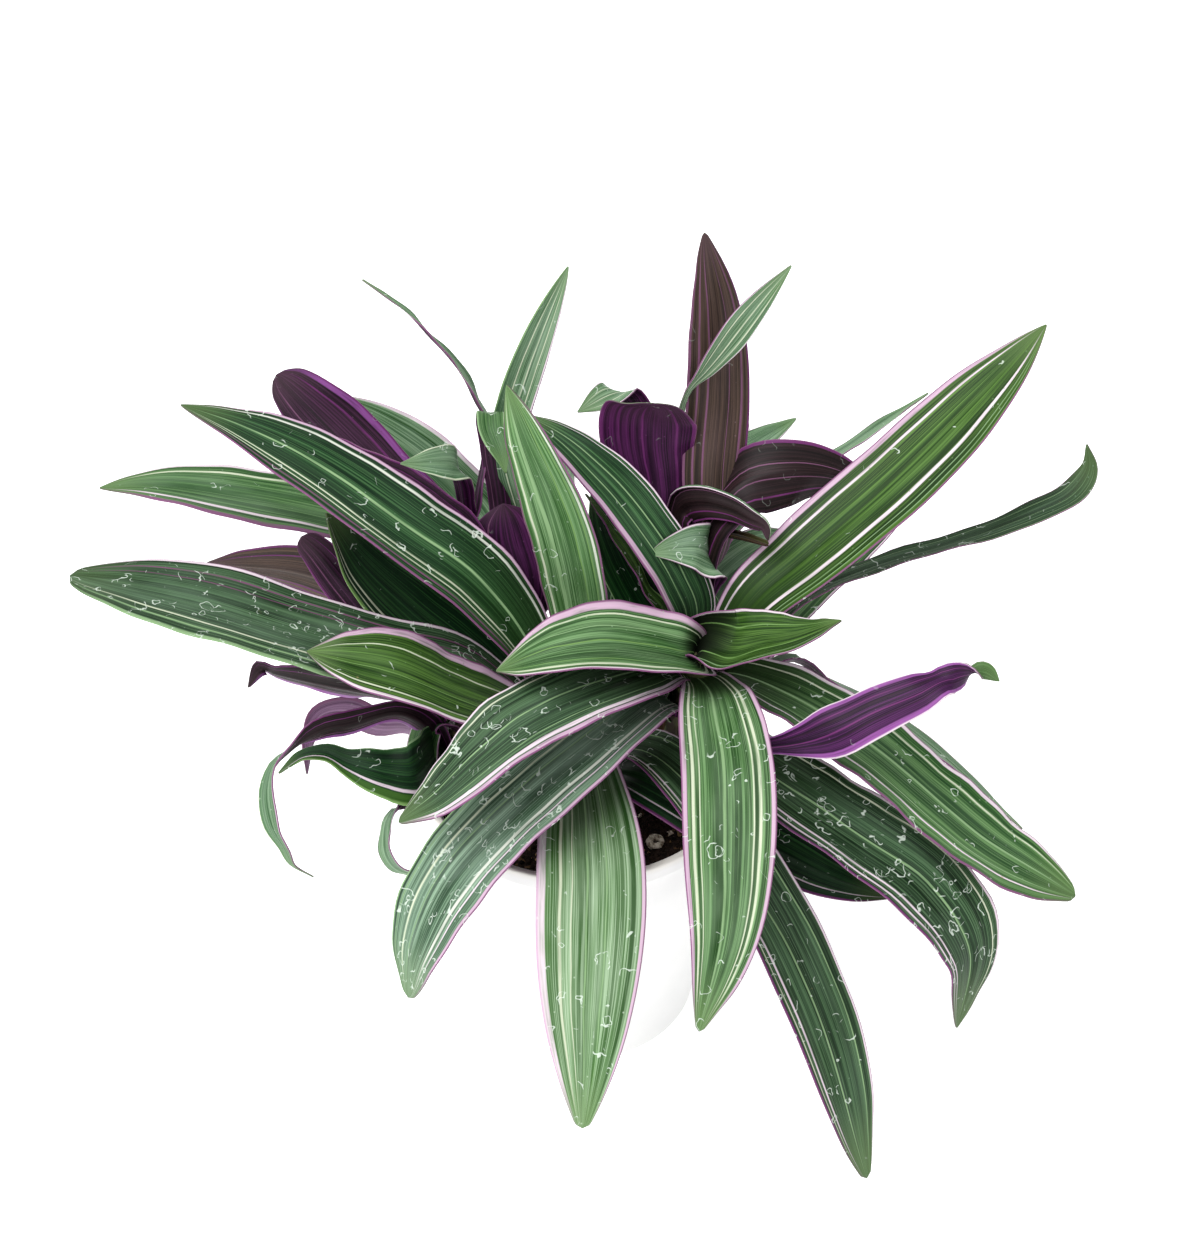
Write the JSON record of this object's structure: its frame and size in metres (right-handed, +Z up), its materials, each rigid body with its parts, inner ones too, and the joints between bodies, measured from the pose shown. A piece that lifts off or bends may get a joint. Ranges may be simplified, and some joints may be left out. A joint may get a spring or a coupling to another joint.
{
  "type": "potted tradescantia plant",
  "caption": "Potted plant with arching strap-shaped striped leaves from clustered short stems, standing in soil in a plain tapered round pot.",
  "frame": {"origin": "centre of the pot's base, on the surface it stands on", "axes": "+Z up along the pot's axis, -Y towards the side that the picture shows"},
  "size_m": [0.366, 0.3331, 0.2982],
  "materials": {
    "pot": "plain white, softly glossy",
    "soil": "dark crumbly potting soil with pale grains",
    "stem": "green fleshy stem with young rolled leaves",
    "leaf": "waxy striped leaf, green and cream above, purple below"
  },
  "bodies": {
    "root": {"pot": "pot", "soil": "soil", "stem_a": "stem", "stem_b": "stem", "stem_c": "stem", "stem_d": "stem", "stem_e": "stem", "leaf_a01": "leaf", "leaf_a02": "leaf", "leaf_a03": "leaf", "leaf_a04": "leaf", "leaf_a05": "leaf", "leaf_a06": "leaf", "leaf_a07": "leaf", "leaf_a08": "leaf", "leaf_a09": "leaf", "leaf_a10": "leaf", "leaf_a12": "leaf", "leaf_a13": "leaf", "leaf_b01": "leaf", "leaf_b02": "leaf", "leaf_b03": "leaf", "leaf_b04": "leaf", "leaf_b05": "leaf", "leaf_b06": "leaf", "leaf_b07": "leaf", "leaf_b08": "leaf", "leaf_b09": "leaf", "leaf_c01": "leaf", "leaf_c07": "leaf", "leaf_c08": "leaf", "leaf_c09": "leaf", "leaf_d01": "leaf", "leaf_d02": "leaf", "leaf_d03": "leaf", "leaf_d04": "leaf", "leaf_d05": "leaf", "leaf_d08": "leaf", "leaf_e01": "leaf", "leaf_e02": "leaf", "leaf_e03": "leaf", "leaf_e04": "leaf", "leaf_d10": "leaf", "leaf_d11": "leaf", "leaf_a14": "leaf", "leaf_a15": "leaf", "leaf_c10": "leaf", "leaf_d12": "leaf", "leaf_d13": "leaf"}
  },
  "joints": []
}
